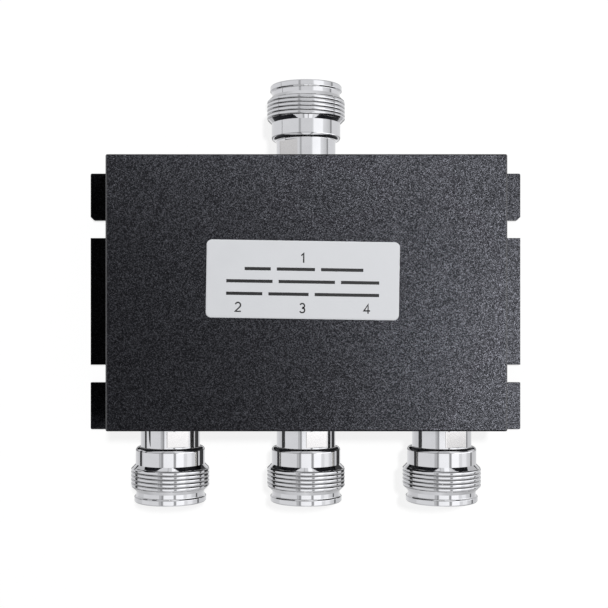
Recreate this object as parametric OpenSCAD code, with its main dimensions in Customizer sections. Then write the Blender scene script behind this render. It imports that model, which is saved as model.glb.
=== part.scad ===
// Three-way RF power splitter: a flat coated housing on a back plate with mounting ears,
// one threaded coaxial jack on the input side and three on the output side.
// X runs along the row of outputs, +Y points to the input, +Z to the label.
// The origin is at the middle of the back of the plate.

/* [Housing] */
// Width of the housing, along the row of outputs
housing_w = 100; // [88:1:130]
// Length of the housing, from the output wall to the input wall
housing_l = 69; // [62:1:100]
// Height of the housing above the back plate
housing_h = 22; // [20:0.5:30]
// Thickness of the side walls
wall_t = 3; // [2:0.1:4.5]
// Thickness of the top wall, under the label
top_t = 2.5; // [1.5:0.1:4]
// Radius of the upright corners
corner_r = 0.6; // [0.3:0.1:2]
// Radius along the top edges
edge_r = 0.4; // [0.2:0.1:0.5]
// Side of the square posts that take the cover screws
post_w = 5; // [4.5:0.25:7]
// Diameter of the bosses that carry the circuit board
boss_d = 6; // [4.5:0.25:7]

/* [Back plate] */
// Thickness of the back plate
plate_t = 2; // [1.6:0.1:4]
// How far the plate sits towards the outputs
plate_shift = 1.8; // [0:0.1:2.4]
// How far each ear reaches past the side of the housing
ear_w = 8; // [7:0.25:16]
// Width of the open notches in the ears
notch_w = 4.8; // [4.2:0.1:6.4]
// Depth of the notches, from the ear's edge to their round end
notch_depth = 7; // [5:0.1:7]
// Distance from an end of the plate to the middle of the nearest notch
notch_inset = 15; // [8:0.5:20]
// Lead-in cut at the mouth of the notches nearest the input
notch_lead = 0.9; // [0.3:0.1:2]
// Radius of the corners of the plate
ear_corner_r = 0.4; // [0.2:0.1:2]

/* [Label] */
// Width of the label
label_w = 48; // [20:0.5:80]
// Height of the label
label_h = 19.4; // [10:0.1:40]
// Thickness of the label film
label_t = 0.15; // [0.05:0.05:0.4]
// Radius of the corners of the label
label_r = 1.3; // [0.5:0.1:4]
// Place of the label's middle along X
label_x = -0.9; // [-10:0.1:10]
// Place of the label's middle along Y
label_y = 3.2; // [-8:0.1:8]
// Turn of the label as it was stuck on, counterclockwise
label_turn = -0.9; // [-5:0.1:5]

/* [Jacks] */
// Distance from a side of the housing to the nearest output's axis
output_inset = 15; // [13:0.5:20]
// Height of the jack axes above the plate
axis_rise = 12; // [10.5:0.25:13]
// Diameter of the neck beside the wall
neck_d = 15.2; // [14.4:0.1:17]
// Length of the neck
neck_l = 4.8; // [3:0.1:8]
// Distance between the two wrench flats on the neck
neck_flats = 14; // [13.4:0.1:15]
// Length of round neck left at each end of the flats
flat_margin = 0.4; // [0.2:0.1:1]
// Turn of the flats of the outputs, clockwise as seen from the front of the jack
output_flat_turn = 22; // [-90:1:90]
// Turn of the flats of the input, clockwise as seen from the front of the jack
input_flat_turn = 40; // [-90:1:90]
// Diameter of the plain collar
collar_d = 17.7; // [16.5:0.1:19]
// Length of the collar
collar_l = 3.6; // [2:0.1:6]
// Chamfer on the collar's edge that faces the wall
collar_chamfer = 0.8; // [0.3:0.1:1]
// Outer diameter of the coupling thread
thread_d = 20; // [19:0.5:22]
// Length of the coupling thread
thread_l = 4.5; // [3:0.1:8]
// Diameter at the bottom of the groove before the front ring
groove_d = 17.4; // [16.6:0.1:18]
// Length of the groove
groove_l = 1.1; // [0.6:0.1:2]
// Diameter of the front ring
ring_d = 18.4; // [17.8:0.1:19]
// Length of the front ring
ring_l = 1.65; // [1.2:0.05:3]
// Chamfer on the edges of the front ring
ring_chamfer = 0.25; // [0.1:0.05:0.4]
// Diameter of the mouth
mouth_d = 15.2; // [13.6:0.1:15.8]
// Depth of the mouth
mouth_depth = 5.2; // [4.4:0.1:7]
// Bore of the outer conductor
bore_d = 11; // [9.6:0.1:12]
// Diameter of the spigot in the wall of the housing
spigot_d = 13; // [12.6:0.1:14]
// Thickness of the rim at the back that the insulator sits against
seat_t = 1; // [0.6:0.1:1.6]
// Opening in that rim, around the rear pin
rim_bore_d = 8; // [6:0.1:9]
// Depth of the insulator's face behind the front
insulator_depth = 11; // [8:0.1:13]
// Diameter of the socket of the centre contact
contact_d = 4.3; // [3.6:0.1:5]
// Depth of the contact's tip behind the front
contact_recess = 5.4; // [4.6:0.1:7]
// Bore of the socket
socket_d = 2; // [1.6:0.1:2.6]
// Depth of the socket's bore
socket_depth = 4.6; // [3:0.1:5.2]
// Width of the slits in the socket
slit_w = 0.35; // [0.2:0.05:0.6]
// Length of the slits
slit_l = 4; // [2:0.1:4.5]
// Diameter of the contact's stem in the insulator
stem_d = 3; // [2.2:0.1:3.5]
// Diameter of the rear pin
pin_d = 1.6; // [1:0.1:2]
// How far the rear pin reaches into the housing
pin_reach = 6; // [4.5:0.1:8]

/* [Circuit] */
// Thickness of the circuit board
board_t = 1.6; // [0.8:0.1:2.4]
// Clearance between the board and the walls and posts
board_gap = 0.5; // [0.2:0.1:1]
// Thickness of the strip lines
copper_t = 0.1; // [0.05:0.05:0.2]
// Bare margin between the strip lines and the edge of the board
copper_inset = 0.5; // [0.3:0.1:1.5]
// Width of the wide strips at the jacks
line_w = 4; // [3:0.1:4.4]
// Width of the narrow strips between them
branch_w = 2; // [1:0.1:2.4]
// Distance of the junction from the middle, towards the input
split_y = 11; // [8:0.5:14]
// Length of the wide strips at the outputs
tail_l = 12; // [9:0.5:15]
// Reach of the middle strip's bends to each side
bend_reach = 8; // [5:0.25:10]
// Length of an isolation resistor
chip_l = 6.4; // [4:0.1:8]
// Width of an isolation resistor
chip_w = 3.2; // [2:0.1:4]
// Height of an isolation resistor
chip_h = 0.8; // [0.5:0.1:1.5]
// Length of each end of a resistor that lies on its strip
chip_land = 1.2; // [0.8:0.1:1.8]
// Width of a solder joint
solder_w = 3; // [2.2:0.1:4]
// Length of a solder joint
solder_l = 4; // [2:0.1:4.4]
// Thickness of the solder under a pin
solder_t = 0.4; // [0.2:0.1:0.8]

/* [Fasteners] */
// Diameter of the cover screws
cover_screw_d = 2.5; // [2:0.1:3]
// Length of the cover screws
cover_screw_l = 8; // [6:0.5:14]
// Diameter of the countersunk heads
cover_head_d = 4.8; // [4:0.1:5.5]
// Diameter of the board screws
board_screw_d = 2.5; // [2:0.1:3]
// Length of the board screws under the head
board_screw_l = 6; // [4:0.5:7]
// Diameter of the pan heads
board_head_d = 4.5; // [3.8:0.1:5]
// Height of the pan heads
board_head_h = 1.5; // [1:0.1:2]
// Depth of the cross recesses in the heads
recess_depth = 0.9; // [0.5:0.1:1.1]
// Length of the arms of the cross recesses, tip to tip
recess_l = 2.4; // [1.6:0.1:3]
// Width of the arms of the cross recesses
recess_w = 0.6; // [0.4:0.05:0.9]
// Room past the tip of a screw in its hole
tip_room = 0.5; // [0.2:0.1:1]
// Radial clearance of all fits
fit_gap = 0.03; // [0.01:0.01:0.1]

/* [Hidden] */
$fn = 64;
// Overshoot of cuts past the faces that they open
cut = 1;

// Heights above the back of the plate
axis_z = plate_t + axis_rise;
top_z = plate_t + housing_h;
ceiling_z = top_z - top_t;
copper_z = axis_z + pin_d / 2;
board_z = copper_z + copper_t;
board_top_z = board_z + board_t;

// The plate, as long as the housing, and the distance between the two notches of an ear
plate_w = housing_w + 2 * ear_w;
plate_l = housing_l;
notch_pitch = plate_l - 2 * notch_inset;

// Inside of the housing
inner_w = housing_w - 2 * wall_t;
inner_l = housing_l - 2 * wall_t;
board_w = inner_w - 2 * board_gap;
board_l = inner_l - 2 * board_gap;

// Stations of a jack along its axis, from the outer face of the wall
shoulder_z = neck_l;
collar_z = shoulder_z + collar_chamfer;
lead_z = collar_z + collar_l;
thread_z = lead_z + (thread_d - collar_d) / 2;
thread_end_z = thread_z + thread_l;
groove_z = thread_end_z + (thread_d - groove_d) / 2;
ring_z = groove_z + groove_l;
front_z = ring_z + ring_l;
mouth_z = front_z - mouth_depth;
tip_z = front_z - contact_recess;
insulator_z = front_z - insulator_depth;
seat_z = seat_t - wall_t;

// Name, place along X, direction along Y and turn of the flats of each jack
output_pitch = housing_w / 2 - output_inset;
ports = [
    ["input", 0, 1, input_flat_turn],
    ["output_1", -output_pitch, -1, output_flat_turn],
    ["output_2", 0, -1, output_flat_turn],
    ["output_3", output_pitch, -1, output_flat_turn]
];

// Posts for the cover screws: two rows of four beside the jacks, and one at each side
post_x = (inner_w - post_w) / 2;
post_y = (inner_l - post_w) / 2;
posts = concat(
    [for (x = [-post_x, -output_pitch / 2, output_pitch / 2, post_x], y = [-post_y, post_y]) [x, y]],
    [[-post_x, 0], [post_x, 0]]
);

// Course of the strip lines
line_end_y = board_l / 2 - copper_inset;
tail_y = tail_l - line_end_y;
bend_step = (split_y - tail_y) / 4;
bend_y = [for (i = [1:3]) split_y - i * bend_step];
middle_course = [
    [0, split_y],
    [0, bend_y[0]],
    [bend_reach, bend_y[0]],
    [bend_reach, bend_y[1]],
    [-bend_reach, bend_y[1]],
    [-bend_reach, bend_y[2]],
    [0, bend_y[2]],
    [0, tail_y]
];
chip_x = output_pitch / 2;

// Screws of the board, in the spaces that the strips leave
side_screw_x = (output_pitch + line_w / 2 + inner_w / 2) / 2;
side_screw_y = -post_y / 2;
upper_screw_y = (split_y + branch_w / 2 + post_y - post_w / 2) / 2;
board_screws_at = [
    for (side = [-1, 1], p = [[chip_x, upper_screw_y], [chip_x, bend_y[1]], [side_screw_x, side_screw_y]])
        [side * p[0], p[1]]
];

// A rectangle around the origin with round corners
module round_rect(w, l, r) {
    square([w - 2 * r, l], center = true);
    square([w, l - 2 * r], center = true);
    for (x = [-1, 1], y = [-1, 1])
        translate([x * (w / 2 - r), y * (l / 2 - r)])
            circle(r);
}

// A rectangle that stands on the X axis, with its two upper corners round
module round_top(w, h, r) {
    translate([-w / 2, 0])
        square([w, h - r]);
    translate([r - w / 2, 0])
        square([w - 2 * r, h]);
    for (x = [-1, 1])
        translate([x * (w / 2 - r), h - r])
            circle(r);
}

// A flat strip between two points with round ends
module strip(from, to, w) {
    run = to - from;
    translate(from)
        rotate(atan2(run[1], run[0])) {
            translate([0, -w / 2])
                square([norm(run), w]);
            circle(d = w);
            translate([norm(run), 0])
                circle(d = w);
        }
}

// Places its child on a port, with Z along the jack's axis and Y up
module at_port(port) {
    translate([port[1], port[2] * housing_l / 2, axis_z])
        rotate([0, 0, port[2] > 0 ? 180 : 0])
            rotate([90, 0, 0])
                children();
}

// A cross recess below the XY plane
module cross_recess() {
    for (turn = [0, 90])
        rotate(turn)
            translate([-recess_l / 2, -recess_w / 2, -recess_depth])
                cube([recess_l, recess_w, recess_depth + cut]);
}

// The space that a cover screw takes up, grown by a gap, with its head on the XY plane
module cover_screw_form(gap, length) {
    cone_h = (cover_head_d - cover_screw_d) / 2;
    cylinder(h = cone_h, d1 = cover_head_d + 2 * gap, d2 = cover_screw_d + 2 * gap);
    cylinder(h = length, d = cover_screw_d + 2 * gap);
}

module housing_outside() {
    intersection() {
        linear_extrude(housing_h)
            round_rect(housing_w, housing_l, corner_r);
        rotate([90, 0, 0])
            linear_extrude(housing_l + 2 * cut, center = true)
                round_top(housing_w, housing_h, edge_r);
        rotate([90, 0, 90])
            linear_extrude(housing_w + 2 * cut, center = true)
                round_top(housing_l, housing_h, edge_r);
    }
}

module housing_cavity() {
    difference() {
        translate([-inner_w / 2, -inner_l / 2, plate_t - cut])
            cube([inner_w, inner_l, ceiling_z - plate_t + cut]);
        for (p = posts)
            translate([p[0] - post_w / 2, p[1] - post_w / 2, plate_t - 2 * cut])
                cube([post_w, post_w, housing_h + 3 * cut]);
        for (p = board_screws_at)
            translate([p[0], p[1], board_top_z])
                cylinder(h = housing_h, d = boss_d);
    }
}

module housing() {
    color("#2b2b2e")
        difference() {
            translate([0, 0, plate_t])
                housing_outside();
            housing_cavity();
            for (p = posts)
                translate([p[0], p[1], 0])
                    cylinder(h = cover_screw_l + tip_room, d = cover_screw_d + 2 * fit_gap);
            for (p = board_screws_at)
                translate([p[0], p[1], board_z])
                    cylinder(h = board_screw_l + tip_room, d = board_screw_d + 2 * fit_gap);
            for (port = ports)
                at_port(port)
                    translate([0, 0, -wall_t - cut])
                        cylinder(h = wall_t + 2 * cut, d = spigot_d + 2 * fit_gap);
        }
}

module notch(side, y) {
    edge_x = plate_w / 2;
    end_x = edge_x - notch_depth + notch_w / 2;
    translate([side * end_x, y])
        circle(d = notch_w);
    translate([side > 0 ? end_x : -edge_x - cut, y - notch_w / 2])
        square([edge_x + cut - end_x, notch_w]);
}

// The cut corner at the mouth of a notch, on the side towards the input
module notch_lead_in(side) {
    translate([side * plate_w / 2, (notch_pitch + notch_w) / 2])
        rotate(45)
            square(notch_lead * sqrt(2), center = true);
}

module back_plate() {
    color("#2b2b2e")
        difference() {
            translate([0, -plate_shift, 0])
                linear_extrude(plate_t)
                    difference() {
                        round_rect(plate_w, plate_l, ear_corner_r);
                        for (side = [-1, 1]) {
                            for (y = [-notch_pitch / 2, notch_pitch / 2])
                                notch(side, y);
                            notch_lead_in(side);
                        }
                    }
            for (p = posts)
                translate([p[0], p[1], 0])
                    cover_screw_form(fit_gap, plate_t + cut);
        }
}

module label() {
    color("#d0d2d6")
        translate([label_x, label_y, top_z])
            rotate(label_turn)
                linear_extrude(label_t)
                    round_rect(label_w, label_h, label_r);
}

module cover_screws() {
    color("#77777a")
        for (p = posts)
            translate([p[0], p[1], 0])
                difference() {
                    cover_screw_form(0, cover_screw_l);
                    mirror([0, 0, 1])
                        cross_recess();
                }
}

module circuit_board() {
    color("#cbc9b2")
        translate([0, 0, board_z])
            difference() {
                linear_extrude(board_t)
                    difference() {
                        square([board_w, board_l], center = true);
                        for (p = posts)
                            translate(p)
                                square(post_w + 2 * board_gap, center = true);
                    }
                for (p = board_screws_at)
                    translate([p[0], p[1], -cut])
                        cylinder(h = board_t + 2 * cut, d = board_screw_d + 2 * fit_gap);
            }
}

module strip_outline() {
    translate([-line_w / 2, split_y])
        square([line_w, line_end_y - split_y]);
    for (i = [1:len(middle_course) - 1])
        strip(middle_course[i - 1], middle_course[i], branch_w);
    for (side = [-1, 1]) {
        strip([0, split_y], [side * output_pitch, split_y], branch_w);
        strip([side * output_pitch, split_y], [side * output_pitch, tail_y], branch_w);
        strip([side * output_pitch, tail_y], [side * (chip_x + chip_l / 2), tail_y], branch_w);
        strip([0, tail_y], [side * (chip_x - chip_l / 2), tail_y], branch_w);
        for (land = [-1, 1])
            translate([side * chip_x + land * (chip_l - chip_land) / 2, tail_y])
                square([chip_land, chip_w], center = true);
    }
    for (x = [-output_pitch, 0, output_pitch])
        translate([x - line_w / 2, -line_end_y])
            square([line_w, tail_l]);
}

module strip_lines() {
    color("#c98a4b")
        translate([0, 0, copper_z])
            linear_extrude(copper_t)
                strip_outline();
}

module isolation_resistors() {
    color("#e8e4da")
        for (side = [-1, 1])
            translate([side * chip_x - chip_l / 2, tail_y - chip_w / 2, copper_z - chip_h])
                cube([chip_l, chip_w, chip_h]);
}

// A saddle of solder that ties the end of a rear pin to the strip above it
module solder_joint() {
    translate([0, 0, -wall_t - pin_reach])
        linear_extrude(solder_l)
            difference() {
                polygon([
                    [-solder_w / 2, pin_d / 2],
                    [solder_w / 2, pin_d / 2],
                    [pin_d / 2, -pin_d / 2 - solder_t],
                    [-pin_d / 2, -pin_d / 2 - solder_t]
                ]);
                circle(d = pin_d + 2 * fit_gap);
            }
}

module solder_joints() {
    color("#b9bcc0")
        for (port = ports)
            at_port(port)
                solder_joint();
}

module board_screws() {
    color("#c9c9cc")
        for (p = board_screws_at)
            translate([p[0], p[1], board_z])
                difference() {
                    union() {
                        cylinder(h = board_screw_l, d = board_screw_d);
                        translate([0, 0, -board_head_h])
                            cylinder(h = board_head_h, d = board_head_d);
                    }
                    translate([0, 0, -board_head_h])
                        mirror([0, 0, 1])
                            cross_recess();
                }
}

// The turned body of a jack, with two flats milled on its neck
module jack_body(flat_turn) {
    color("#c9cacc")
        difference() {
            rotate_extrude()
                polygon([
                    [rim_bore_d / 2, -wall_t],
                    [spigot_d / 2, -wall_t],
                    [spigot_d / 2, 0],
                    [neck_d / 2, 0],
                    [neck_d / 2, shoulder_z],
                    [collar_d / 2 - collar_chamfer, shoulder_z],
                    [collar_d / 2, collar_z],
                    [collar_d / 2, lead_z],
                    [thread_d / 2, thread_z],
                    [thread_d / 2, thread_end_z],
                    [groove_d / 2, groove_z],
                    [groove_d / 2, ring_z],
                    [ring_d / 2 - ring_chamfer, ring_z],
                    [ring_d / 2, ring_z + ring_chamfer],
                    [ring_d / 2, front_z - ring_chamfer],
                    [ring_d / 2 - ring_chamfer, front_z],
                    [mouth_d / 2 + ring_chamfer, front_z],
                    [mouth_d / 2, front_z - ring_chamfer],
                    [mouth_d / 2, mouth_z],
                    [bore_d / 2, mouth_z],
                    [bore_d / 2, seat_z],
                    [rim_bore_d / 2, seat_z]
                ]);
            for (turn = [0, 180])
                rotate(turn - flat_turn)
                    translate([-neck_d / 2, neck_flats / 2, flat_margin])
                        cube([neck_d, neck_d, neck_l - 2 * flat_margin]);
        }
}

module jack_insulator() {
    color("#f4f4f0")
        translate([0, 0, seat_z])
            difference() {
                cylinder(h = insulator_z - seat_z, d = bore_d - 2 * fit_gap);
                translate([0, 0, -cut])
                    cylinder(h = insulator_z - seat_z + 2 * cut, d = stem_d + 2 * fit_gap);
            }
}

module jack_contact() {
    color("#d6d5d0")
        difference() {
            union() {
                translate([0, 0, -wall_t - pin_reach])
                    cylinder(h = pin_reach + seat_t, d = pin_d);
                translate([0, 0, seat_z])
                    cylinder(h = insulator_z - seat_z, d = stem_d);
                translate([0, 0, insulator_z])
                    cylinder(h = tip_z - insulator_z, d = contact_d);
            }
            translate([0, 0, tip_z - socket_depth])
                cylinder(h = socket_depth + cut, d = socket_d);
            for (turn = [45, 135])
                rotate(turn)
                    translate([-contact_d, -slit_w / 2, tip_z - slit_l])
                        cube([2 * contact_d, slit_w, slit_l + cut]);
        }
}

housing();
back_plate();
label();
cover_screws();
circuit_board();
strip_lines();
isolation_resistors();
solder_joints();
board_screws();
for (port = ports) {
    at_port(port) jack_body(port[3]);
    at_port(port) jack_insulator();
    at_port(port) jack_contact();
}
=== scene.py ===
import math

import bmesh
import bpy
from mathutils import Matrix, Vector, noise


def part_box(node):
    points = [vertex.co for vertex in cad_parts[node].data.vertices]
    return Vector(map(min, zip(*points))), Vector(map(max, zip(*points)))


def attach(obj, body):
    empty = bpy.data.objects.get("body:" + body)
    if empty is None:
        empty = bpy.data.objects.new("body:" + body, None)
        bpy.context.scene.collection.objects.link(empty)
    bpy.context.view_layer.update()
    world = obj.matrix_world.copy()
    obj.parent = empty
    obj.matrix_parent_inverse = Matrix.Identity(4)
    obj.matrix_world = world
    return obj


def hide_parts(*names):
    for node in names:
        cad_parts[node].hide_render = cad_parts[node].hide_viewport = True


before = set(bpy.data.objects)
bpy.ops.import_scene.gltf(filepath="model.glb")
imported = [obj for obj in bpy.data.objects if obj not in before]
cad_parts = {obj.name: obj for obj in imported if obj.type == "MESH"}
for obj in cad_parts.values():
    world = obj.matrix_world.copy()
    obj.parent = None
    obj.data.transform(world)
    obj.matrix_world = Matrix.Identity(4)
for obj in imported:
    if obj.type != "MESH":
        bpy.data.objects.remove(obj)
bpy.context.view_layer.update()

# Looks of a three-way power splitter: a coated box, four plated jacks with cut threads and a film label.
# The frame gives the places and the outer sizes. Lengths below are in metres, written with MM.
MM = 0.001
BODY = "root"

# Stations of a jack along its axis, from the outer face of the wall, and its diameters
NECK_D = 15.2 * MM
NECK_L = 4.8 * MM
NECK_FLATS = 14 * MM
FLAT_MARGIN = 0.4 * MM
COLLAR_D = 17.7 * MM
COLLAR_L = 3.6 * MM
COLLAR_CHAMFER = 0.8 * MM
COLLAR_CROWN = 0.18 * MM
THREAD_D = 20 * MM
THREAD_L = 4.5 * MM
THREAD_PITCH = 1 * MM
THREAD_DEPTH = 0.55 * MM
THREAD_FLATNESS = 6
# Share of the thread's cut past which the root's painted shade is used
ROOT_SHARE = 0.3
GROOVE_D = 17.4 * MM
GROOVE_L = 1.1 * MM
RING_D = 18.4 * MM
RING_L = 1.65 * MM
RING_CHAMFER = 0.25 * MM
MOUTH_D = 15.2 * MM
MOUTH_DEPTH = 5.2 * MM
BORE_D = 11 * MM
SPIGOT_D = 13 * MM
SPIGOT_L = 3 * MM
SEAT_T = 1 * MM
RIM_BORE_D = 8 * MM
SHOULDER = NECK_L
COLLAR = SHOULDER + COLLAR_CHAMFER
LEAD = COLLAR + COLLAR_L
THREAD = LEAD + (THREAD_D - COLLAR_D) / 2
THREAD_END = THREAD + THREAD_L
GROOVE = THREAD_END + (THREAD_D - GROOVE_D) / 2
RING = GROOVE + GROOVE_L
FRONT = RING + RING_L

# Turn of the wrench flats of each jack, clockwise as seen from its front
FLAT_TURNS = {
    "input": math.radians(40),
    "output_1": math.radians(22),
    "output_2": math.radians(22),
    "output_3": math.radians(22),
}

# Materials of a jack, by their place in its list; the thread's root takes one with painted shade
PLATED, MILLED, SHADED_ROOT = range(3)

# Fineness of the meshes
ARC_STEPS = 12
MERGE = 1e-7
AROUND = 160
THREAD_STEP = THREAD_PITCH / 18
EDGE_ROUND = 0.08 * MM
EDGE_STEPS = 3
CROWN_STEPS = 5
EDGE_HOLD = 0.02 * MM
FLAT_SLACK = 0.008 * MM
JACK_CREASE = 28
FILM_CREASE = 50

# Width of the highlight painted along the housing's side edges, and of the plate's soft edge
EDGE_HIGHLIGHT = 0.5 * MM
PLATE_SOFT_EDGE = 0.3 * MM
SOFT_EDGE_STEPS = 2
SOFT_EDGE_FROM = math.radians(40)
WELD = 1e-6

# The part of a noise's range that nearly all of it lies in
NOISE_MIDDLE = (0.3, 0.7)
# Grains of the coat, and how rare the bright ones are: at 1 all levels would be as common
COAT_GRAIN = 0.2 * MM
COAT_DEPTH = 0.018 * MM
GLINT_RARITY = 2.5

# The label: the film takes most of the CAD label's thickness and the ink the rest
LABEL_TURN = math.radians(-0.9)
LABEL_W = 48 * MM
LABEL_H = 19.4 * MM
LABEL_R = 1.3 * MM
INK_T = 0.02 * MM
FILM_EDGE = 0.06 * MM
FILM_CELL = 0.4 * MM
FILM_WAVE = 0.006 * MM
FILM_WAVE_SIZE = 5 * MM
FILM_STILL = 1 * MM

# Print on the label: numbers at the ports and rows of plain bars, as (start, end) along the row
DIGIT_H = 2.3 * MM
DIGIT_STROKE = 0.36 * MM
SHARPEST_MITRE = 0.5
DIGITS = [("1", 0, 5.4 * MM), ("2", -16 * MM, -7 * MM), ("3", 0, -7 * MM), ("4", 16 * MM, -7 * MM)]
BAR_H = 0.8 * MM
BAR_ROWS = [
    (2.6 * MM, [(-14.5, -8), (-6.5, 3), (4.5, 15)]),
    (-0.5 * MM, [(-19, -7.5), (-6, 8), (9.5, 19)]),
    (-3.6 * MM, [(-19, -10), (-8.5, 1.5), (3, 19)]),
]


def arc(x, y, r, first, last):
    """Points of an arc, from one angle in degrees to another."""
    angles = [math.radians(first + (last - first) * i / ARC_STEPS) for i in range(ARC_STEPS + 1)]
    return [(x + r * math.cos(a), y + r * math.sin(a)) for a in angles]


# The numerals as lines, one unit high around the origin
DIGIT_STROKES = {
    "1": [(-0.2, 0.27), (0.06, 0.5), (0.06, -0.5)],
    "2": arc(0, 0.22, 0.28, 165, -35) + [(-0.29, -0.46), (0.32, -0.46)],
    "3": arc(-0.02, 0.24, 0.25, 155, -75) + arc(-0.02, -0.23, 0.27, 75, -155),
    "4": [(0.14, -0.5), (0.14, 0.48), (-0.31, -0.2), (0.36, -0.2)],
}

# The camera, straight above, as the photograph was taken
FRAME_PX = 608
FOCAL_PX = 1026
FOOT_PX = (294.6, 317.7)
CAMERA_AT = (-2.94 * MM, -6.2 * MM, 279 * MM)
SENSOR = 36
CLIP_START = 10 * MM

# The studio
FLOOR_HALF = 110 * MM
# Lamps, as (place, size, power): one for all dull surfaces of the part, two that leave out its plate,
# one for the plate's right ears and one for the part's shadow on the floor
PART_LAMPS = {
    "right": (Vector((0.30, -0.05, 0.83)), (0.16, 0.07), 3.3),
}
FACE_LAMPS = {
    "input_side": (Vector((0.12, 0.33, 0.83)), (0.20, 0.10), 2.7),
    "input_left": (Vector((-0.12, 0.40, 0.83)), (0.20, 0.10), 1.6),
}
PLATE_LAMPS = {"right_ears": (Vector((0.28, 0.24, 0.83)), (0.10, 0.07), 1)}
FLOOR_LAMPS = {"shadow": (Vector((0.08, 0.15, 0.83)), (0.06, 0.06), 3)}
WHITE = (1, 1, 1, 1)
WORLD_DIFFUSE = 0.17
FLOOR_GLOW = 0.835
FLOOR_SHADE = 0.31
# Dark cards that show only in what mirrors them, as painted shade: one over the left ears, which lie in the
# housing's shade, and others beside the output jacks
SHADE_CARD_LEVEL = 0.05
ROOF_DROP = 1 * MM
ROOF_REACH = 40 * MM
ROOF_END = 4 * MM
FLAG_OUT = 17.5 * MM
FLAG_SHORT = 2 * MM
LEFT_FLAG_Z = (14.5 * MM, 17.8 * MM)
RIGHT_FLAG_Z = (0, 12 * MM)

# The studio as the metal mirrors it: brightness by degrees around Y, from straight up towards +X.
# Towards the outputs: a pale room with two lights above, narrow gaps beside them and a dark gap low at +X
OUTPUT_SIDE = [
    (-180, 0.85), (-122, 0.66), (-98, 0.66), (-93, 0.78), (-32, 0.78), (-29, 0.45), (-26, 0.62), (-22, 0.35),
    (-18, 0.35), (-15, 1.05), (16, 1.1), (18.5, 0.4), (24, 0.4), (26.5, 1.2), (50, 1.2), (53, 0.85),
    (62, 0.85), (65, 1), (78, 1), (86, 0.76), (102, 0.68), (104, 0.12), (109, 0.12), (111, 0.66),
    (138, 0.68), (180, 0.85),
]
# Straight above: the dark camera and ceiling, lighter towards +X
OVERHEAD = [
    (-180, 0.3), (-60, 0.3), (-40, 0.04), (2, 0.04), (14, 0.1), (28, 0.3), (40, 2), (100, 2), (120, 0.5),
    (180, 0.3),
]
# Towards the input: a grey room with one light and two narrow gaps
INPUT_SIDE = [
    (-180, 0.8), (-124, 0.76), (-26, 0.77), (-23, 0.45), (-19, 0.45), (-16, 0.74), (20, 0.74), (23, 0.85),
    (26, 1.15), (56, 1.2), (60, 0.85), (72, 0.75), (86, 0.62), (89, 0.3), (93, 0.3), (97, 0.78), (135, 0.76),
    (180, 0.8),
]
# How bright all of it is by its reach along Y: full in the middle and at both ends, and dimmer between them
BANDS = [
    (-1, 0.95), (-0.88, 0.95), (-0.75, 0.75), (-0.28, 0.7), (-0.21, 1), (0.23, 1), (0.3, 0.75), (0.8, 0.75),
    (0.93, 1), (1, 1),
]
# Where along Y the view overhead and the input's side take over
OVERHEAD_FROM = (-0.108, -0.098)
INPUT_FROM = (0.137, 0.15)


def new_object(name, mesh, place, materials):
    """A piece of the part with this mesh at this place, riding on the part's one body."""
    for material in materials:
        mesh.materials.append(material)
    piece = bpy.data.objects.new(name, mesh)
    bpy.context.scene.collection.objects.link(piece)
    piece.matrix_world = place
    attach(piece, BODY)
    return piece


def smooth(mesh, sharp_degrees):
    """Smooth shading, with edges sharper than this left crisp."""
    mesh.shade_smooth()
    mesh.set_sharp_from_angle(angle=math.radians(sharp_degrees))


def finished_mesh(made, name):
    """A mesh of what was made, with its faces turned outwards."""
    bmesh.ops.recalc_face_normals(made, faces=made.faces)
    mesh = bpy.data.meshes.new(name)
    made.to_mesh(mesh)
    made.free()
    return mesh


# Node helpers


def new_material(name):
    material = bpy.data.materials.new(name)
    material.use_nodes = True
    tree = material.node_tree
    return material, tree, tree.nodes["Principled BSDF"]


def new_metal(name):
    material, tree, shader = new_material(name)
    shader.inputs["Metallic"].default_value = 1
    return material, tree, shader


def feed(tree, value, socket):
    """Links another node's output to a socket, or sets the socket to a plain number or colour."""
    if isinstance(value, bpy.types.NodeSocket):
        tree.links.new(value, socket)
    else:
        socket.default_value = value


def work_out(tree, operation, *values):
    node = tree.nodes.new("ShaderNodeMath")
    node.operation = operation
    for value, socket in zip(values, node.inputs):
        feed(tree, value, socket)
    return node.outputs[0]


def spread(tree, value, first, last, low=0, high=1):
    """A value's range from first to last, spread from low to high and held there."""
    node = tree.nodes.new("ShaderNodeMapRange")
    for name, setting in (
        ("Value", value),
        ("From Min", first),
        ("From Max", last),
        ("To Min", low),
        ("To Max", high),
    ):
        feed(tree, setting, node.inputs[name])
    return node.outputs["Result"]


def mix_colours(tree, share, one, other):
    """A colour between two, each an output or (red, green, blue)."""
    node = tree.nodes.new("ShaderNodeMix")
    node.data_type = "RGBA"
    feed(tree, share, node.inputs["Factor"])
    for name, colour in (("A", one), ("B", other)):
        plain = isinstance(colour, tuple)
        feed(tree, (*colour, 1) if plain else colour, node.inputs[name])
    return node.outputs["Result"]


def mix_shaders(tree, share, one, other):
    node = tree.nodes.new("ShaderNodeMixShader")
    feed(tree, share, node.inputs["Fac"])
    tree.links.new(one, node.inputs[1])
    tree.links.new(other, node.inputs[2])
    return node.outputs[0]


def own_place(tree):
    """A point's place along the piece's own axes."""
    return tree.nodes.new("ShaderNodeTexCoord").outputs["Object"]


def grain(tree, size, detail=2, stretch=(1, 1, 1)):
    """Noise from 0 to 1 with features of about this size, stretched along the piece's own axes."""
    mapping = tree.nodes.new("ShaderNodeMapping")
    mapping.inputs["Scale"].default_value = [s / size for s in stretch]
    texture = tree.nodes.new("ShaderNodeTexNoise")
    texture.inputs["Scale"].default_value = 1
    texture.inputs["Detail"].default_value = detail
    tree.links.new(own_place(tree), mapping.inputs["Vector"])
    tree.links.new(mapping.outputs["Vector"], texture.inputs["Vector"])
    return texture.outputs["Fac"]


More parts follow.
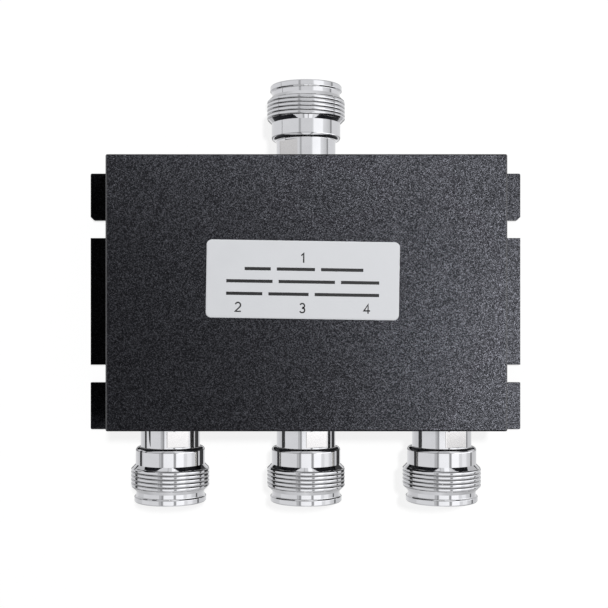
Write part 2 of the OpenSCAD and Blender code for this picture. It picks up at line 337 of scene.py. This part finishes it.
def sand(tree, size):
    """Grains of about this size: the distance from a grain's middle, and a number from 0 to 1 for each."""
    grains = tree.nodes.new("ShaderNodeTexVoronoi")
    grains.inputs["Scale"].default_value = 1 / size
    tree.links.new(own_place(tree), grains.inputs["Vector"])
    parts = tree.nodes.new("ShaderNodeSeparateColor")
    tree.links.new(grains.outputs["Color"], parts.inputs["Color"])
    return grains.outputs["Distance"], parts.outputs["Red"]


def vary_colour(tree, shader, noise_value, one, other):
    share = spread(tree, noise_value, *NOISE_MIDDLE)
    tree.links.new(mix_colours(tree, share, one, other), shader.inputs["Base Color"])


def vary_roughness(tree, shader, noise_value, low, high):
    tree.links.new(spread(tree, noise_value, *NOISE_MIDDLE, low, high), shader.inputs["Roughness"])


def add_bump(tree, shader, value, height, strength=1):
    bump = tree.nodes.new("ShaderNodeBump")
    bump.inputs["Strength"].default_value = strength
    bump.inputs["Distance"].default_value = height
    tree.links.new(value, bump.inputs["Height"])
    tree.links.new(bump.outputs["Normal"], shader.inputs["Normal"])


# Materials


def edge_highlight_mask(tree):
    """1 along the housing's left and right top edges, where a highlight is painted, and 0 elsewhere."""
    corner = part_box("housing")[1]
    axes = tree.nodes.new("ShaderNodeSeparateXYZ")
    tree.links.new(own_place(tree), axes.inputs[0])
    out = work_out(tree, "ABSOLUTE", axes.outputs["X"])
    near_side = spread(tree, out, corner.x - EDGE_HIGHLIGHT, corner.x - EDGE_HIGHLIGHT / 2)
    near_top = spread(tree, axes.outputs["Z"], corner.z - EDGE_HIGHLIGHT, corner.z - EDGE_HIGHLIGHT / 2)
    return work_out(tree, "MULTIPLY", near_side, near_top)


def black_coat():
    """Powder coat of fine grains, a few of which glint, with a highlight painted along two of the housing's
    top edges.
    """
    material, tree, shader = new_material("black_coat")
    shader.inputs["Specular Tint"].default_value = (0.86, 0.88, 1, 1)
    dome, chance = sand(tree, COAT_GRAIN)
    fine = grain(tree, size=0.14 * MM)
    glint = work_out(tree, "POWER", chance, GLINT_RARITY)
    coat = mix_colours(tree, glint, (0.0006, 0.0006, 0.001), (0.005, 0.005, 0.0062))
    # A highlight painted into the colour along the housing's left and right top edges
    coat_with_highlight = mix_colours(tree, edge_highlight_mask(tree), coat, (0.09, 0.09, 0.094))
    tree.links.new(coat_with_highlight, shader.inputs["Base Color"])
    vary_roughness(tree, shader, fine, low=0.28, high=0.36)
    tree.links.new(spread(tree, glint, 0, 1, low=0.1, high=0.8), shader.inputs["Specular IOR Level"])
    add_bump(tree, shader, dome, height=-COAT_DEPTH)
    return material


def jack_plating():
    """Bright white plating with faint turning marks around the axis."""
    material, tree, shader = new_metal("jack_plating")
    marks = grain(tree, size=0.12 * MM, detail=3, stretch=(0.01, 0.01, 1))
    cloud = grain(tree, size=2.5 * MM)
    vary_colour(tree, shader, cloud, (0.775, 0.78, 0.81), (0.805, 0.81, 0.84))
    vary_roughness(tree, shader, marks, low=0.03, high=0.06)
    add_bump(tree, shader, marks, height=0.001 * MM, strength=0.1)
    return material


def milled_plating():
    """The same plating on the milled flats, which are satin."""
    material, tree, shader = new_metal("milled_plating")
    grit = grain(tree, size=0.15 * MM, detail=3)
    vary_colour(tree, shader, grit, (0.66, 0.65, 0.66), (0.8, 0.79, 0.79))
    vary_roughness(tree, shader, grit, low=0.06, high=0.1)
    add_bump(tree, shader, grit, height=0.002 * MM, strength=0.3)
    return material


def root_shade_plating():
    """The same plating at the root of the thread, dull, and darkened by painted shade."""
    material, tree, shader = new_metal("root_shade_plating")
    root_shade_noise = grain(tree, size=0.4 * MM)
    vary_colour(tree, shader, root_shade_noise, (0.2, 0.2, 0.21), (0.3, 0.3, 0.31))
    vary_roughness(tree, shader, root_shade_noise, low=0.2, high=0.35)
    return material


def label_film():
    """Silver-grey polyester film, satin and slightly uneven."""
    material, tree, shader = new_material("label_film")
    flakes = grain(tree, size=0.12 * MM)
    cloud = grain(tree, size=7 * MM)
    vary_colour(tree, shader, cloud, (0.545, 0.555, 0.578), (0.57, 0.58, 0.603))
    vary_roughness(tree, shader, cloud, low=0.44, high=0.54)
    add_bump(tree, shader, flakes, height=0.002 * MM, strength=0.3)
    return material


def label_ink():
    """Thermal-print ink."""
    material, tree, shader = new_material("label_ink")
    shader.inputs["Specular IOR Level"].default_value = 0.2
    speckle = grain(tree, size=0.15 * MM)
    vary_colour(tree, shader, speckle, (0.006, 0.006, 0.007), (0.014, 0.014, 0.015))
    vary_roughness(tree, shader, speckle, low=0.35, high=0.5)
    return material


def insulator_white():
    """Turned white fluoropolymer."""
    material, tree, shader = new_material("insulator_white")
    tooling = grain(tree, size=0.3 * MM)
    vary_colour(tree, shader, tooling, (0.82, 0.82, 0.80), (0.88, 0.88, 0.86))
    vary_roughness(tree, shader, tooling, low=0.32, high=0.45)
    add_bump(tree, shader, tooling, height=0.01 * MM, strength=0.2)
    return material


def plain_metal(name, one, other, rough, size):
    """A metal whose colour and gloss vary a little over grains of this size."""
    material, tree, shader = new_metal(name)
    grit = grain(tree, size, detail=3)
    vary_colour(tree, shader, grit, one, other)
    vary_roughness(tree, shader, grit, *rough)
    add_bump(tree, shader, grit, height=0.01 * MM, strength=0.25)
    return material


def plain_solid(name, one, other, rough, size):
    """A dull solid whose colour and gloss vary a little over grains of this size."""
    material, tree, shader = new_material(name)
    grit = grain(tree, size, detail=3)
    vary_colour(tree, shader, grit, one, other)
    vary_roughness(tree, shader, grit, *rough)
    add_bump(tree, shader, grit, height=0.02 * MM, strength=0.3)
    return material


# The jacks


def crowned(start, end, crown):
    """Points from start to end of a chamfer that bulges by the crown in its middle."""
    start, end = Vector(start), Vector(end)
    along = end - start
    out = Vector((along.y, -along.x)).normalized()
    shares = [i / CROWN_STEPS for i in range(CROWN_STEPS + 1)]
    return [tuple(start + along * t + out * crown * 4 * t * (1 - t)) for t in shares]


def jack_corners():
    """The outline of a jack's body as (radius, station), without the thread: two open runs."""
    back = [
        (RIM_BORE_D / 2, SEAT_T - SPIGOT_L),
        (RIM_BORE_D / 2, -SPIGOT_L),
        (SPIGOT_D / 2, -SPIGOT_L),
        (SPIGOT_D / 2, 0),
        (NECK_D / 2, 0),
        (NECK_D / 2, SHOULDER),
        *crowned((COLLAR_D / 2 - COLLAR_CHAMFER, SHOULDER), (COLLAR_D / 2, COLLAR), COLLAR_CROWN),
        (COLLAR_D / 2, LEAD),
    ]
    front = [
        (GROOVE_D / 2, GROOVE),
        (GROOVE_D / 2, RING),
        (RING_D / 2 - RING_CHAMFER, RING),
        (RING_D / 2, RING + RING_CHAMFER),
        (RING_D / 2, FRONT - RING_CHAMFER),
        (RING_D / 2 - RING_CHAMFER, FRONT),
        (MOUTH_D / 2 + RING_CHAMFER, FRONT),
        (MOUTH_D / 2, FRONT - RING_CHAMFER),
        (MOUTH_D / 2, FRONT - MOUTH_DEPTH),
        (BORE_D / 2, FRONT - MOUTH_DEPTH),
        (BORE_D / 2, SEAT_T - SPIGOT_L),
    ]
    return back, front


def round_corner(before, corner, after):
    """Points of a small arc in place of a corner, and one more at each end to keep the next faces true."""
    corner = Vector(corner)
    to_before, to_after = Vector(before) - corner, Vector(after) - corner
    reach = min(EDGE_ROUND, to_before.length / 3, to_after.length / 3)
    start = corner + to_before.normalized() * reach
    end = corner + to_after.normalized() * reach
    points = [start + to_before.normalized() * EDGE_HOLD]
    for i in range(EDGE_STEPS + 1):
        t = i / EDGE_STEPS
        points.append((1 - t) ** 2 * start + 2 * t * (1 - t) * corner + t ** 2 * end)
    points.append(end + to_after.normalized() * EDGE_HOLD)
    return [tuple(p) for p in points]


def rounded_run(corners):
    """A run of corners with each inner one rounded."""
    run = [corners[0]]
    for before, corner, after in zip(corners, corners[1:], corners[2:]):
        run.extend(round_corner(before, corner, after))
    run.append(corners[-1])
    return run


def thread_cut(angle, station):
    """How deep the thread is cut at this place: a helix from 0 on its crests to 1 at its root."""
    turn = ((station - THREAD) / THREAD_PITCH + angle / math.tau) % 1
    return (2 * turn - 1) ** THREAD_FLATNESS


def thread_blank(station):
    """Radius of the threaded stretch before it is cut, with its 45 degree ends."""
    return min(THREAD_D / 2, COLLAR_D / 2 + station - LEAD, GROOVE_D / 2 + GROOVE - station)


def thread_radius(angle, station):
    return min(THREAD_D / 2 - THREAD_DEPTH * thread_cut(angle, station), thread_blank(station))


def in_root(point):
    """Whether a point of the jack lies at the root of its thread, where shade is painted."""
    if not LEAD < point.z < GROOVE:
        return False
    cut = thread_cut(math.atan2(point.y, point.x), point.z)
    return cut > ROOT_SHARE and THREAD_D / 2 - THREAD_DEPTH * cut < thread_blank(point.z)


def jack_angles(flat_turn):
    """Angles around a jack, with points on the edges of its two flats."""
    angles = [math.tau * i / AROUND for i in range(AROUND)]
    half = math.acos(NECK_FLATS / NECK_D)
    for middle in (math.pi / 2 - flat_turn, 1.5 * math.pi - flat_turn):
        for edge in (middle - half, middle + half):
            nearest = round(edge % math.tau / math.tau * AROUND) % AROUND
            angles[nearest] = edge % math.tau
    return angles


def on_flats(point, flat_turn):
    """The point moved in to the flats where it lies outside them."""
    normal = Vector((math.sin(flat_turn), math.cos(flat_turn), 0))
    out = point.dot(normal)
    extra = max(abs(out) - NECK_FLATS / 2, 0)
    return point - normal * math.copysign(extra, out)


def jack_rings(flat_turn):
    """Rings of points from the seat at the back, over the outside and into the mouth, and those on flats."""
    angles = jack_angles(flat_turn)
    back, front = jack_corners()
    rings = []
    flat_from = flat_to = 0

    def plain(radius, station):
        return [Vector((radius * math.cos(a), radius * math.sin(a), station)) for a in angles]

    run = rounded_run(back)
    low, high = FLAT_MARGIN, NECK_L - FLAT_MARGIN
    for (radius, station), (_, following) in zip(run, run[1:] + run[-1:]):
        rings.append(plain(radius, station))
        if station < low and following > high:
            rings.append(plain(radius, low))
            flat_from = len(rings)
            for s in (low, high):
                rings.append([on_flats(p, flat_turn) for p in plain(radius, s)])
            flat_to = len(rings)
            rings.append(plain(radius, high))
    steps = round((GROOVE - LEAD) / THREAD_STEP)
    for i in range(1, steps):
        station = LEAD + (GROOVE - LEAD) * i / steps
        radii = [thread_radius(a, station) for a in angles]
        rings.append([Vector((r * math.cos(a), r * math.sin(a), station)) for r, a in zip(radii, angles)])
    rings.extend(plain(radius, station) for radius, station in rounded_run(front))
    return rings, range(flat_from, flat_to)


def jack_mesh(name, flat_turn):
    rings, flat_rings = jack_rings(flat_turn)
    made = bmesh.new()
    grid = [[made.verts.new(p) for p in ring] for ring in rings]
    normal = Vector((math.sin(flat_turn), math.cos(flat_turn), 0))
    for k, ring in enumerate(grid):
        following = grid[(k + 1) % len(grid)]
        for i in range(AROUND):
            j = (i + 1) % AROUND
            face = made.faces.new((ring[i], ring[j], following[j], following[i]))
            middle = face.calc_center_median()
            flat = k == flat_rings[0] and abs(middle.dot(normal)) > NECK_FLATS / 2 - FLAT_SLACK
            if flat:
                face.material_index = MILLED
            else:
                # The thread's roots take the plating with painted shade
                face.material_index = SHADED_ROOT if in_root(middle) else PLATED
    bmesh.ops.remove_doubles(made, verts=made.verts, dist=MERGE)
    mesh = finished_mesh(made, name)
    smooth(mesh, JACK_CREASE)
    return mesh


def jack_place(name):
    """Where a jack's own axes lie in the frame: Z along its axis and Y up."""
    low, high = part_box(name + "_body")
    middle = (low + high) / 2
    to_input = middle.y > 0
    wall_y = high.y - FRONT if to_input else low.y + FRONT
    turn = Matrix.Rotation(math.pi if to_input else 0, 4, "Z") @ Matrix.Rotation(math.pi / 2, 4, "X")
    return Matrix.Translation((middle.x, wall_y, middle.z)) @ turn


def make_jack(name, materials):
    piece = name + "_turned_body"
    jack = new_object(piece, jack_mesh(piece, FLAT_TURNS[name]), jack_place(name), materials)
    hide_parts(name + "_body")
    jack.visible_glossy = False
    return jack


# The label


def label_place():
    """The middle of the film's top face, turned as the label is."""
    low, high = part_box("label")
    middle = (low + high) / 2
    return Matrix.Translation((middle.x, middle.y, high.z)) @ Matrix.Rotation(LABEL_TURN, 4, "Z")


def corner_pull(x, y):
    """A point of the label's rectangle, pulled in to its round corners."""
    core_x, core_y = LABEL_W / 2 - LABEL_R, LABEL_H / 2 - LABEL_R
    out = Vector((max(abs(x) - core_x, 0), max(abs(y) - core_y, 0)))
    if out.length > 0 and min(out) > 0:
        out = out.normalized() * max(out)
    return (
        math.copysign(min(abs(x), core_x) + out.x, x),
        math.copysign(min(abs(y), core_y) + out.y, y),
    )


def spaced(length):
    """Even places across a length, with one near each edge so that the film's rim stays tight."""
    count = round(length / FILM_CELL)
    inner = [length * (i / count - 0.5) for i in range(1, count)]
    return [-length / 2, FILM_EDGE - length / 2, *inner, length / 2 - FILM_EDGE, length / 2]


def film_height(x, y):
    """Height of the film's waves, which fade out near its edges."""
    wave = noise.noise(Vector((x, y, 0)) / FILM_WAVE_SIZE)
    inside = min(LABEL_W / 2 - abs(x), LABEL_H / 2 - abs(y), FILM_STILL) / FILM_STILL
    return -INK_T - FILM_WAVE * (1 + wave) * inside


def film_mesh():
    """A sheet with a soft rim and a slightly uneven top."""
    low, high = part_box("label")
    thickness = high.z - low.z
    xs, ys = spaced(LABEL_W), spaced(LABEL_H)
    made = bmesh.new()
    rows = []
    for y in ys:
        row = []
        for x in xs:
            edge = x in (xs[0], xs[-1]) or y in (ys[0], ys[-1])
            z = film_height(x, y) - (FILM_EDGE / 2 if edge else 0)
            row.append(made.verts.new((*corner_pull(x, y), z)))
        rows.append(row)
    for lower, upper in zip(rows, rows[1:]):
        for i in range(len(xs) - 1):
            made.faces.new((lower[i], lower[i + 1], upper[i + 1], upper[i]))
    rim = [e for e in made.edges if e.is_boundary]
    dropped = bmesh.ops.extrude_edge_only(made, edges=rim)["geom"]
    for v in dropped:
        if isinstance(v, bmesh.types.BMVert):
            v.co.z = -thickness
    bottom = [e for e in dropped if isinstance(e, bmesh.types.BMEdge) and e.is_boundary]
    bmesh.ops.contextual_create(made, geom=bottom)
    mesh = finished_mesh(made, "label_sheet")
    smooth(mesh, FILM_CREASE)
    return mesh


def make_label(film):
    label = new_object("label_sheet", film_mesh(), label_place(), [film])
    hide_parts("label")


def add_stroke(made, points, width):
    """A flat line of this width along the points, as thick as the ink."""
    strip = []
    for i, here in enumerate(points):
        into = (here - points[max(i - 1, 0)]).normalized()
        out = (points[min(i + 1, len(points) - 1)] - here).normalized()
        along = (into + out).normalized()
        reach = width / 2 / max(along.dot(into), along.dot(out), SHARPEST_MITRE)
        side = Vector((-along.y, along.x)) * reach
        strip.append([made.verts.new((*p, z)) for z in (0, -INK_T) for p in (here + side, here - side)])
    for one, other in zip(strip, strip[1:]):
        for i, j in ((0, 1), (1, 3), (3, 2), (2, 0)):
            made.faces.new((one[i], one[j], other[j], other[i]))
    for end in (strip[0], strip[-1]):
        made.faces.new([end[i] for i in (0, 1, 3, 2)])


def make_print(ink):
    made = bmesh.new()
    for y, bars in BAR_ROWS:
        for ends in bars:
            add_stroke(made, [Vector((x * MM, y)) for x in ends], BAR_H)
    for digit, x, y in DIGITS:
        points = [Vector((x, y)) + Vector(p) * DIGIT_H for p in DIGIT_STROKES[digit]]
        add_stroke(made, points, DIGIT_STROKE)
    mesh = finished_mesh(made, "label_print")
    new_object("label_print", mesh, label_place(), [ink])


# The CAD pieces that stay


def dress(node, material, soft_edge=0):
    """Gives a CAD piece its material, and a soft edge of this width where one is asked for."""
    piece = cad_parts[node]
    piece.data.materials.clear()
    piece.data.materials.append(material)
    if soft_edge:
        weld = piece.modifiers.new("weld", "WELD")
        weld.merge_threshold = WELD
        bevel = piece.modifiers.new("soft_edge", "BEVEL")
        bevel.width = soft_edge
        bevel.segments = SOFT_EDGE_STEPS
        bevel.limit_method = "ANGLE"
        bevel.angle_limit = SOFT_EDGE_FROM
        piece.modifiers.new("even_normals", "WEIGHTED_NORMAL")


def dress_frame():
    coat = black_coat()
    steel = plain_metal("screw_steel", (0.42, 0.42, 0.43), (0.50, 0.50, 0.51), (0.25, 0.4), 0.2 * MM)
    silver = plain_metal("contact_silver", (0.80, 0.78, 0.72), (0.86, 0.84, 0.79), (0.12, 0.22), 0.3 * MM)
    white = insulator_white()
    dress("housing", coat)
    dress("back_plate", coat, PLATE_SOFT_EDGE)
    dress("cover_screws", steel)
    dress("board_screws", steel)
    laminate = plain_solid("laminate", (0.56, 0.54, 0.40), (0.64, 0.62, 0.48), (0.4, 0.6), 0.4 * MM)
    dress("circuit_board", laminate)
    dress("strip_lines", plain_metal("copper", (0.70, 0.40, 0.23), (0.80, 0.50, 0.31), (0.25, 0.4), 0.5 * MM))
    ceramic = plain_solid("chip_ceramic", (0.84, 0.82, 0.76), (0.92, 0.90, 0.84), (0.3, 0.5), 0.2 * MM)
    dress("isolation_resistors", ceramic)
    solder = plain_metal("solder", (0.58, 0.59, 0.61), (0.66, 0.67, 0.69), (0.15, 0.35), 0.4 * MM)
    dress("solder_joints", solder)
    for name in FLAT_TURNS:
        dress(name + "_insulator", white)
        dress(name + "_contact", silver)


# The studio


def make_camera():
    camera = bpy.data.objects.new("camera", bpy.data.cameras.new("camera"))
    camera.location = CAMERA_AT
    camera.data.sensor_width = SENSOR
    camera.data.lens = SENSOR * FOCAL_PX / FRAME_PX
    camera.data.shift_x = (FRAME_PX / 2 - FOOT_PX[0]) / FRAME_PX
    camera.data.shift_y = (FOOT_PX[1] - FRAME_PX / 2) / FRAME_PX
    camera.data.clip_start = CLIP_START
    bpy.context.scene.collection.objects.link(camera)
    bpy.context.scene.camera = camera


def link_light(lamp, pieces, state):
    """Keeps a lamp's light off these pieces, or on them alone, as the state says."""
    linked = bpy.data.collections.new(lamp.name)
    for piece in pieces:
        linked.objects.link(piece)
    for entry in linked.collection_objects:
        entry.light_linking.link_state = state
    lamp.light_linking.receiver_collection = linked


def make_lamps(lamps, pieces, state):
    """Area lamps that face the part, linked to these pieces as the state says."""
    for name, (place, size, power) in lamps.items():
        light = bpy.data.lights.new(name, "AREA")
        light.shape = "RECTANGLE"
        light.size, light.size_y = size
        light.energy = power
        lamp = bpy.data.objects.new(name, light)
        lamp.location = place
        lamp.rotation_euler = (-place).to_track_quat("-Z", "Y").to_euler()
        lamp.visible_camera = False
        bpy.context.scene.collection.objects.link(lamp)
        link_light(lamp, pieces, state)


def shown_to_camera(tree):
    """1 for the rays that show a background: those straight from the camera or through something clear."""
    path = tree.nodes.new("ShaderNodeLightPath")
    return work_out(tree, "MAXIMUM", path.outputs["Is Camera Ray"], path.outputs["Is Transmission Ray"])


def floor_paper():
    """White paper that shows as white and still takes the part's shadow."""
    material, tree, _ = new_material("floor_paper")
    paper = tree.nodes.new("ShaderNodeBsdfDiffuse")
    paper.inputs["Color"].default_value = (FLOOR_SHADE, FLOOR_SHADE, FLOOR_SHADE, 1)
    glow = tree.nodes.new("ShaderNodeEmission")
    tree.links.new(work_out(tree, "MULTIPLY", shown_to_camera(tree), FLOOR_GLOW), glow.inputs["Strength"])
    added = tree.nodes.new("ShaderNodeAddShader")
    tree.links.new(paper.outputs[0], added.inputs[0])
    tree.links.new(glow.outputs[0], added.inputs[1])
    tree.links.new(added.outputs[0], tree.nodes["Material Output"].inputs["Surface"])
    return material


def make_sheet(name, corners, material):
    """A sheet with four corners, for the studio."""
    mesh = bpy.data.meshes.new(name)
    mesh.from_pydata(corners, [], [(0, 1, 2, 3)])
    mesh.materials.append(material)
    sheet = bpy.data.objects.new(name, mesh)
    bpy.context.scene.collection.objects.link(sheet)
    return sheet


def make_floor():
    h = FLOOR_HALF
    floor = make_sheet("floor", [(-h, -h, 0), (h, -h, 0), (h, h, 0), (-h, h, 0)], floor_paper())
    floor.visible_glossy = False
    return floor


def painted_shade_card():
    """A card that is dark on its front and clear from behind, painting shade into what mirrors it."""
    material, tree, _ = new_material("painted_shade_card")
    dark = tree.nodes.new("ShaderNodeEmission")
    dark.inputs["Color"].default_value = (SHADE_CARD_LEVEL, SHADE_CARD_LEVEL, SHADE_CARD_LEVEL, 1)
    clear = tree.nodes.new("ShaderNodeBsdfTransparent")
    behind = tree.nodes.new("ShaderNodeNewGeometry").outputs["Backfacing"]
    card = mix_shaders(tree, behind, dark.outputs[0], clear.outputs[0])
    tree.links.new(card, tree.nodes["Material Output"].inputs["Surface"])
    return material


def make_flag(name, corners, card):
    flag = make_sheet(name, corners, card)
    # Seen only in reflections, where it stands in for shade
    flag.visible_camera = flag.visible_shadow = flag.visible_diffuse = False


def make_roof_flag(card):
    """A card over the left ears that faces down, painting shade into what they mirror."""
    plate_low, plate_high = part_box("back_plate")
    house_low, house_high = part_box("housing")
    x0, x1 = plate_low.x - ROOF_REACH, house_low.x
    y0, y1 = plate_low.y - ROOF_END, plate_high.y + ROOF_REACH
    z = house_high.z - ROOF_DROP
    make_flag("flag_over_ears", [(x0, y0, z), (x0, y1, z), (x1, y1, z), (x1, y0, z)], card)


def make_side_flag(name, way, zs, card):
    """A card to the left (-1) or right (1) of a jack that faces it, painting shade into what the jack
    mirrors.
    """
    low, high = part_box(name + "_body")
    x = (low.x + high.x) / 2 + way * FLAG_OUT
    y0, y1 = low.y + FLAG_SHORT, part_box("housing")[0].y
    z0, z1 = zs
    corners = [(x, y0, z0), (x, y1, z0), (x, y1, z1), (x, y0, z1)]
    side = "right" if way > 0 else "left"
    make_flag("flag_" + side + "_of_" + name, corners[::-way], card)


def make_flags():
    """The painted-shade cards: the ears' card, one to the left of each output jack and one to the right of
    all but the last.
    """
    card = painted_shade_card()
    make_roof_flag(card)
    outputs = [name for name in FLAT_TURNS if name != "input"]
    for name in outputs:
        make_side_flag(name, -1, LEFT_FLAG_Z, card)
    for name in outputs[:-1]:
        make_side_flag(name, 1, RIGHT_FLAG_Z, card)


def studio_ramp(tree, value, stops):
    """Brightness at stops along a value, which runs as far below zero as above it."""
    ramp = tree.nodes.new("ShaderNodeValToRGB")
    elements = ramp.color_ramp.elements
    while len(elements) < len(stops):
        elements.new(0.5)
    reach = stops[-1][0]
    for element, (place, level) in zip(elements, stops):
        element.position = (place + reach) / (2 * reach)
        element.color = (level, level, level, 1)
    tree.links.new(value, ramp.inputs["Fac"])
    return ramp.outputs["Color"]


def background(tree, colour, strength):
    node = tree.nodes.new("ShaderNodeBackground")
    feed(tree, colour, node.inputs["Color"])
    feed(tree, strength, node.inputs["Strength"])
    return node.outputs[0]


def mirrored_studio(tree):
    """The panels that the metal mirrors."""
    place = tree.nodes.new("ShaderNodeTexCoord").outputs["Generated"]
    axes = tree.nodes.new("ShaderNodeSeparateXYZ")
    tree.links.new(place, axes.inputs[0])
    around = work_out(tree, "ARCTAN2", axes.outputs["X"], axes.outputs["Z"])
    turn = spread(tree, around, -math.pi, math.pi)
    panels = studio_ramp(tree, turn, OUTPUT_SIDE)
    for stops, (first, last) in ((OVERHEAD, OVERHEAD_FROM), (INPUT_SIDE, INPUT_FROM)):
        side = spread(tree, axes.outputs["Y"], first, last)
        panels = mix_colours(tree, side, panels, studio_ramp(tree, turn, stops))
    reach = spread(tree, axes.outputs["Y"], -1, 1)
    return background(tree, panels, studio_ramp(tree, reach, BANDS))


def make_world():
    """White to the camera, soft light on dull surfaces, and a studio of panels in the metal."""
    world = bpy.data.worlds.new("studio")
    world.use_nodes = True
    bpy.context.scene.world = world
    tree = world.node_tree
    tree.nodes.clear()
    soft = background(tree, WHITE, WORLD_DIFFUSE)
    glossy = tree.nodes.new("ShaderNodeLightPath").outputs["Is Glossy Ray"]
    lit = mix_shaders(tree, glossy, soft, mirrored_studio(tree))
    seen = mix_shaders(tree, shown_to_camera(tree), lit, background(tree, WHITE, 1))
    output = tree.nodes.new("ShaderNodeOutputWorld")
    tree.links.new(seen, output.inputs["Surface"])


bpy.context.scene.view_settings.view_transform = "Standard"
make_camera()
make_world()
floor = make_floor()
make_flags()
dress_frame()
plating = [jack_plating(), milled_plating(), root_shade_plating()]
jacks = [make_jack(jack_name, plating) for jack_name in FLAT_TURNS]
make_lamps(PART_LAMPS, [*jacks, floor], "EXCLUDE")
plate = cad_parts["back_plate"]
make_lamps(FACE_LAMPS, [*jacks, floor, plate], "EXCLUDE")
make_lamps(PLATE_LAMPS, [plate], "INCLUDE")
make_lamps(FLOOR_LAMPS, [floor], "INCLUDE")
make_label(label_film())
make_print(label_ink())
